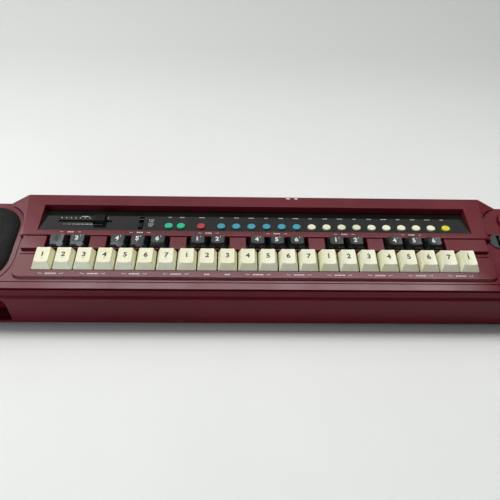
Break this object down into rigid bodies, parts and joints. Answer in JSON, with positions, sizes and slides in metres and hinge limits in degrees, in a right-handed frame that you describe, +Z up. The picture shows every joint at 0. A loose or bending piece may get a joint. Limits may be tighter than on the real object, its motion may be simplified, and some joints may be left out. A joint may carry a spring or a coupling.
{
  "type": "electronic number-key harp",
  "caption": "Long low electronic desk instrument with two rows of square caps, a recessed button panel, a mesh speaker at one end and a strumming bar at the other.",
  "frame": {"origin": "middle of the footprint, on the surface that the feet stand on", "axes": "+X along the keyboard to the strum end, +Y to the back, +Z up"},
  "size_m": [0.64, 0.111, 0.0761],
  "materials": {
    "maroon_case": "glossy moulded, slightly worn",
    "maroon_knob": "glossy moulded",
    "charcoal_panel": "satin dark panel",
    "grille_mesh": "black fine mesh",
    "steel_frame": "plated",
    "paper_cone": "pressed paper",
    "chassis_plastic": "black moulded",
    "pad_rubber": "silicone rubber",
    "board": "paper-based laminate",
    "socket_plastic": "black moulded",
    "foot_rubber": "black rubber",
    "screw_steel": "zinc plated",
    "strum_rubber": "textured dark grey",
    "black_bar": "black moulded",
    "black_control": "black moulded",
    "green_button_plastic": "satin",
    "red_button_plastic": "satin",
    "blue_button_plastic": "satin",
    "cream_button_plastic": "satin",
    "yellow_button_plastic": "satin",
    "cream_key_plastic": "satin moulded, slightly yellowed",
    "black_key_plastic": "satin moulded",
    "white_ink": "thin screen print",
    "dark_ink": "thin screen print",
    "grille_cloth": "open black cloth behind the mesh"
  },
  "bodies": {
    "case": {"upper_case": "maroon_case", "lower_case": "maroon_case", "control_panel": "charcoal_panel", "speaker_grille": "grille_mesh", "speaker_frame": "steel_frame", "speaker_cone": "paper_cone", "key_chassis": "chassis_plastic", "rubber_domes": "pad_rubber", "circuit_board": "board", "jack_sockets": "socket_plastic", "rubber_feet": "foot_rubber", "case_screws": "screw_steel", "strum_pad": "strum_rubber"},
    "volume_slider": {"volume_slider": "black_control"},
    "power_switch": {"power_switch": "black_control"},
    "strum_bar": {"strum_bar": "black_bar"},
    "tuning_knob": {"tuning_knob": "maroon_knob"},
    "battery_door": {"battery_door": "maroon_case"},
    "green_buttons": {"green_buttons": "green_button_plastic"},
    "red_button": {"red_button": "red_button_plastic"},
    "blue_buttons": {"blue_buttons": "blue_button_plastic"},
    "cream_buttons": {"cream_buttons": "cream_button_plastic"},
    "yellow_button": {"yellow_button": "yellow_button_plastic"},
    "white_key_01": {"white_key_01": "cream_key_plastic"},
    "white_key_02": {"white_key_02": "cream_key_plastic"},
    "white_key_03": {"white_key_03": "cream_key_plastic"},
    "white_key_04": {"white_key_04": "cream_key_plastic"},
    "white_key_05": {"white_key_05": "cream_key_plastic"},
    "white_key_06": {"white_key_06": "cream_key_plastic"},
    "white_key_07": {"white_key_07": "cream_key_plastic"},
    "white_key_08": {"white_key_08": "cream_key_plastic"},
    "white_key_09": {"white_key_09": "cream_key_plastic"},
    "white_key_10": {"white_key_10": "cream_key_plastic"},
    "white_key_11": {"white_key_11": "cream_key_plastic"},
    "white_key_12": {"white_key_12": "cream_key_plastic"},
    "white_key_13": {"white_key_13": "cream_key_plastic"},
    "white_key_14": {"white_key_14": "cream_key_plastic"},
    "white_key_15": {"white_key_15": "cream_key_plastic"},
    "white_key_16": {"white_key_16": "cream_key_plastic"},
    "white_key_17": {"white_key_17": "cream_key_plastic"},
    "white_key_18": {"white_key_18": "cream_key_plastic"},
    "white_key_19": {"white_key_19": "cream_key_plastic"},
    "white_key_20": {"white_key_20": "cream_key_plastic"},
    "white_key_21": {"white_key_21": "cream_key_plastic"},
    "white_key_22": {"white_key_22": "cream_key_plastic"},
    "black_key_01": {"black_key_01": "black_key_plastic"},
    "black_key_02": {"black_key_02": "black_key_plastic"},
    "black_key_03": {"black_key_03": "black_key_plastic"},
    "black_key_04": {"black_key_04": "black_key_plastic"},
    "black_key_05": {"black_key_05": "black_key_plastic"},
    "black_key_06": {"black_key_06": "black_key_plastic"},
    "black_key_07": {"black_key_07": "black_key_plastic"},
    "black_key_08": {"black_key_08": "black_key_plastic"},
    "black_key_09": {"black_key_09": "black_key_plastic"},
    "black_key_10": {"black_key_10": "black_key_plastic"},
    "black_key_11": {"black_key_11": "black_key_plastic"},
    "black_key_12": {"black_key_12": "black_key_plastic"},
    "black_key_13": {"black_key_13": "black_key_plastic"},
    "black_key_14": {"black_key_14": "black_key_plastic"},
    "black_key_15": {"black_key_15": "black_key_plastic"}
  },
  "joints": [
    {"name": "white_key_01_press", "type": "slide", "parent": "case", "child": "white_key_01", "axis": [0, -0.1961, 0.9806], "range_m": [-0.003, 0], "stiffness_N_per_m": 120, "springref_m": 0.003},
    {"name": "white_key_02_press", "type": "slide", "parent": "case", "child": "white_key_02", "axis": [0, -0.1961, 0.9806], "range_m": [-0.003, 0], "stiffness_N_per_m": 120, "springref_m": 0.003},
    {"name": "white_key_03_press", "type": "slide", "parent": "case", "child": "white_key_03", "axis": [0, -0.1961, 0.9806], "range_m": [-0.003, 0], "stiffness_N_per_m": 120, "springref_m": 0.003},
    {"name": "white_key_04_press", "type": "slide", "parent": "case", "child": "white_key_04", "axis": [0, -0.1961, 0.9806], "range_m": [-0.003, 0], "stiffness_N_per_m": 120, "springref_m": 0.003},
    {"name": "white_key_05_press", "type": "slide", "parent": "case", "child": "white_key_05", "axis": [0, -0.1961, 0.9806], "range_m": [-0.003, 0], "stiffness_N_per_m": 120, "springref_m": 0.003},
    {"name": "white_key_06_press", "type": "slide", "parent": "case", "child": "white_key_06", "axis": [0, -0.1961, 0.9806], "range_m": [-0.003, 0], "stiffness_N_per_m": 120, "springref_m": 0.003},
    {"name": "white_key_07_press", "type": "slide", "parent": "case", "child": "white_key_07", "axis": [0, -0.1961, 0.9806], "range_m": [-0.003, 0], "stiffness_N_per_m": 120, "springref_m": 0.003},
    {"name": "white_key_08_press", "type": "slide", "parent": "case", "child": "white_key_08", "axis": [0, -0.1961, 0.9806], "range_m": [-0.003, 0], "stiffness_N_per_m": 120, "springref_m": 0.003},
    {"name": "white_key_09_press", "type": "slide", "parent": "case", "child": "white_key_09", "axis": [0, -0.1961, 0.9806], "range_m": [-0.003, 0], "stiffness_N_per_m": 120, "springref_m": 0.003},
    {"name": "white_key_10_press", "type": "slide", "parent": "case", "child": "white_key_10", "axis": [0, -0.1961, 0.9806], "range_m": [-0.003, 0], "stiffness_N_per_m": 120, "springref_m": 0.003},
    {"name": "white_key_11_press", "type": "slide", "parent": "case", "child": "white_key_11", "axis": [0, -0.1961, 0.9806], "range_m": [-0.003, 0], "stiffness_N_per_m": 120, "springref_m": 0.003},
    {"name": "white_key_12_press", "type": "slide", "parent": "case", "child": "white_key_12", "axis": [0, -0.1961, 0.9806], "range_m": [-0.003, 0], "stiffness_N_per_m": 120, "springref_m": 0.003},
    {"name": "white_key_13_press", "type": "slide", "parent": "case", "child": "white_key_13", "axis": [0, -0.1961, 0.9806], "range_m": [-0.003, 0], "stiffness_N_per_m": 120, "springref_m": 0.003},
    {"name": "white_key_14_press", "type": "slide", "parent": "case", "child": "white_key_14", "axis": [0, -0.1961, 0.9806], "range_m": [-0.003, 0], "stiffness_N_per_m": 120, "springref_m": 0.003},
    {"name": "white_key_15_press", "type": "slide", "parent": "case", "child": "white_key_15", "axis": [0, -0.1961, 0.9806], "range_m": [-0.003, 0], "stiffness_N_per_m": 120, "springref_m": 0.003},
    {"name": "white_key_16_press", "type": "slide", "parent": "case", "child": "white_key_16", "axis": [0, -0.1961, 0.9806], "range_m": [-0.003, 0], "stiffness_N_per_m": 120, "springref_m": 0.003},
    {"name": "white_key_17_press", "type": "slide", "parent": "case", "child": "white_key_17", "axis": [0, -0.1961, 0.9806], "range_m": [-0.003, 0], "stiffness_N_per_m": 120, "springref_m": 0.003},
    {"name": "white_key_18_press", "type": "slide", "parent": "case", "child": "white_key_18", "axis": [0, -0.1961, 0.9806], "range_m": [-0.003, 0], "stiffness_N_per_m": 120, "springref_m": 0.003},
    {"name": "white_key_19_press", "type": "slide", "parent": "case", "child": "white_key_19", "axis": [0, -0.1961, 0.9806], "range_m": [-0.003, 0], "stiffness_N_per_m": 120, "springref_m": 0.003},
    {"name": "white_key_20_press", "type": "slide", "parent": "case", "child": "white_key_20", "axis": [0, -0.1961, 0.9806], "range_m": [-0.003, 0], "stiffness_N_per_m": 120, "springref_m": 0.003},
    {"name": "white_key_21_press", "type": "slide", "parent": "case", "child": "white_key_21", "axis": [0, -0.1961, 0.9806], "range_m": [-0.003, 0], "stiffness_N_per_m": 120, "springref_m": 0.003},
    {"name": "white_key_22_press", "type": "slide", "parent": "case", "child": "white_key_22", "axis": [0, -0.1961, 0.9806], "range_m": [-0.003, 0], "stiffness_N_per_m": 120, "springref_m": 0.003},
    {"name": "black_key_01_press", "type": "slide", "parent": "case", "child": "black_key_01", "axis": [0, -0.1961, 0.9806], "range_m": [-0.003, 0], "stiffness_N_per_m": 120, "springref_m": 0.003},
    {"name": "black_key_02_press", "type": "slide", "parent": "case", "child": "black_key_02", "axis": [0, -0.1961, 0.9806], "range_m": [-0.003, 0], "stiffness_N_per_m": 120, "springref_m": 0.003},
    {"name": "black_key_03_press", "type": "slide", "parent": "case", "child": "black_key_03", "axis": [0, -0.1961, 0.9806], "range_m": [-0.003, 0], "stiffness_N_per_m": 120, "springref_m": 0.003},
    {"name": "black_key_04_press", "type": "slide", "parent": "case", "child": "black_key_04", "axis": [0, -0.1961, 0.9806], "range_m": [-0.003, 0], "stiffness_N_per_m": 120, "springref_m": 0.003},
    {"name": "black_key_05_press", "type": "slide", "parent": "case", "child": "black_key_05", "axis": [0, -0.1961, 0.9806], "range_m": [-0.003, 0], "stiffness_N_per_m": 120, "springref_m": 0.003},
    {"name": "black_key_06_press", "type": "slide", "parent": "case", "child": "black_key_06", "axis": [0, -0.1961, 0.9806], "range_m": [-0.003, 0], "stiffness_N_per_m": 120, "springref_m": 0.003},
    {"name": "black_key_07_press", "type": "slide", "parent": "case", "child": "black_key_07", "axis": [0, -0.1961, 0.9806], "range_m": [-0.003, 0], "stiffness_N_per_m": 120, "springref_m": 0.003},
    {"name": "black_key_08_press", "type": "slide", "parent": "case", "child": "black_key_08", "axis": [0, -0.1961, 0.9806], "range_m": [-0.003, 0], "stiffness_N_per_m": 120, "springref_m": 0.003},
    {"name": "black_key_09_press", "type": "slide", "parent": "case", "child": "black_key_09", "axis": [0, -0.1961, 0.9806], "range_m": [-0.003, 0], "stiffness_N_per_m": 120, "springref_m": 0.003},
    {"name": "black_key_10_press", "type": "slide", "parent": "case", "child": "black_key_10", "axis": [0, -0.1961, 0.9806], "range_m": [-0.003, 0], "stiffness_N_per_m": 120, "springref_m": 0.003},
    {"name": "black_key_11_press", "type": "slide", "parent": "case", "child": "black_key_11", "axis": [0, -0.1961, 0.9806], "range_m": [-0.003, 0], "stiffness_N_per_m": 120, "springref_m": 0.003},
    {"name": "black_key_12_press", "type": "slide", "parent": "case", "child": "black_key_12", "axis": [0, -0.1961, 0.9806], "range_m": [-0.003, 0], "stiffness_N_per_m": 120, "springref_m": 0.003},
    {"name": "black_key_13_press", "type": "slide", "parent": "case", "child": "black_key_13", "axis": [0, -0.1961, 0.9806], "range_m": [-0.003, 0], "stiffness_N_per_m": 120, "springref_m": 0.003},
    {"name": "black_key_14_press", "type": "slide", "parent": "case", "child": "black_key_14", "axis": [0, -0.1961, 0.9806], "range_m": [-0.003, 0], "stiffness_N_per_m": 120, "springref_m": 0.003},
    {"name": "black_key_15_press", "type": "slide", "parent": "case", "child": "black_key_15", "axis": [0, -0.1961, 0.9806], "range_m": [-0.003, 0], "stiffness_N_per_m": 120, "springref_m": 0.003},
    {"name": "green_buttons_press", "type": "slide", "parent": "case", "child": "green_buttons", "axis": [0, 0, 1], "range_m": [-0.001, 0], "stiffness_N_per_m": 400, "springref_m": 0.001},
    {"name": "red_button_press", "type": "slide", "parent": "case", "child": "red_button", "axis": [0, 0, 1], "range_m": [-0.001, 0], "stiffness_N_per_m": 400, "springref_m": 0.001},
    {"name": "blue_buttons_press", "type": "slide", "parent": "case", "child": "blue_buttons", "axis": [0, 0, 1], "range_m": [-0.001, 0], "stiffness_N_per_m": 400, "springref_m": 0.001},
    {"name": "cream_buttons_press", "type": "slide", "parent": "case", "child": "cream_buttons", "axis": [0, 0, 1], "range_m": [-0.001, 0], "stiffness_N_per_m": 400, "springref_m": 0.001},
    {"name": "yellow_button_press", "type": "slide", "parent": "case", "child": "yellow_button", "axis": [0, 0, 1], "range_m": [-0.001, 0], "stiffness_N_per_m": 400, "springref_m": 0.001},
    {"name": "volume_slide", "type": "slide", "parent": "case", "child": "volume_slider", "axis": [1, 0, 0], "range_m": [-0.0355, 0.0065]},
    {"name": "power_slide", "type": "slide", "parent": "case", "child": "power_switch", "axis": [0, 1, 0], "range_m": [0, 0.0103]},
    {"name": "strum_rock", "type": "hinge", "parent": "case", "child": "strum_bar", "pos_m": [0.2699, 0.00572, 0.05832], "axis": [1, 0, 0], "range_deg": [-5, 5], "stiffness_Nm_per_rad": 0.6},
    {"name": "tuning_turn", "type": "hinge", "parent": "case", "child": "tuning_knob", "pos_m": [0.258, 0.03043, 0.06837], "axis": [0, -0.1961, 0.9806], "range_deg": [-140, 140]},
    {"name": "battery_door_slide", "type": "slide", "parent": "case", "child": "battery_door", "axis": [1, 0, 0], "range_m": [0, 0.01]}
  ]
}
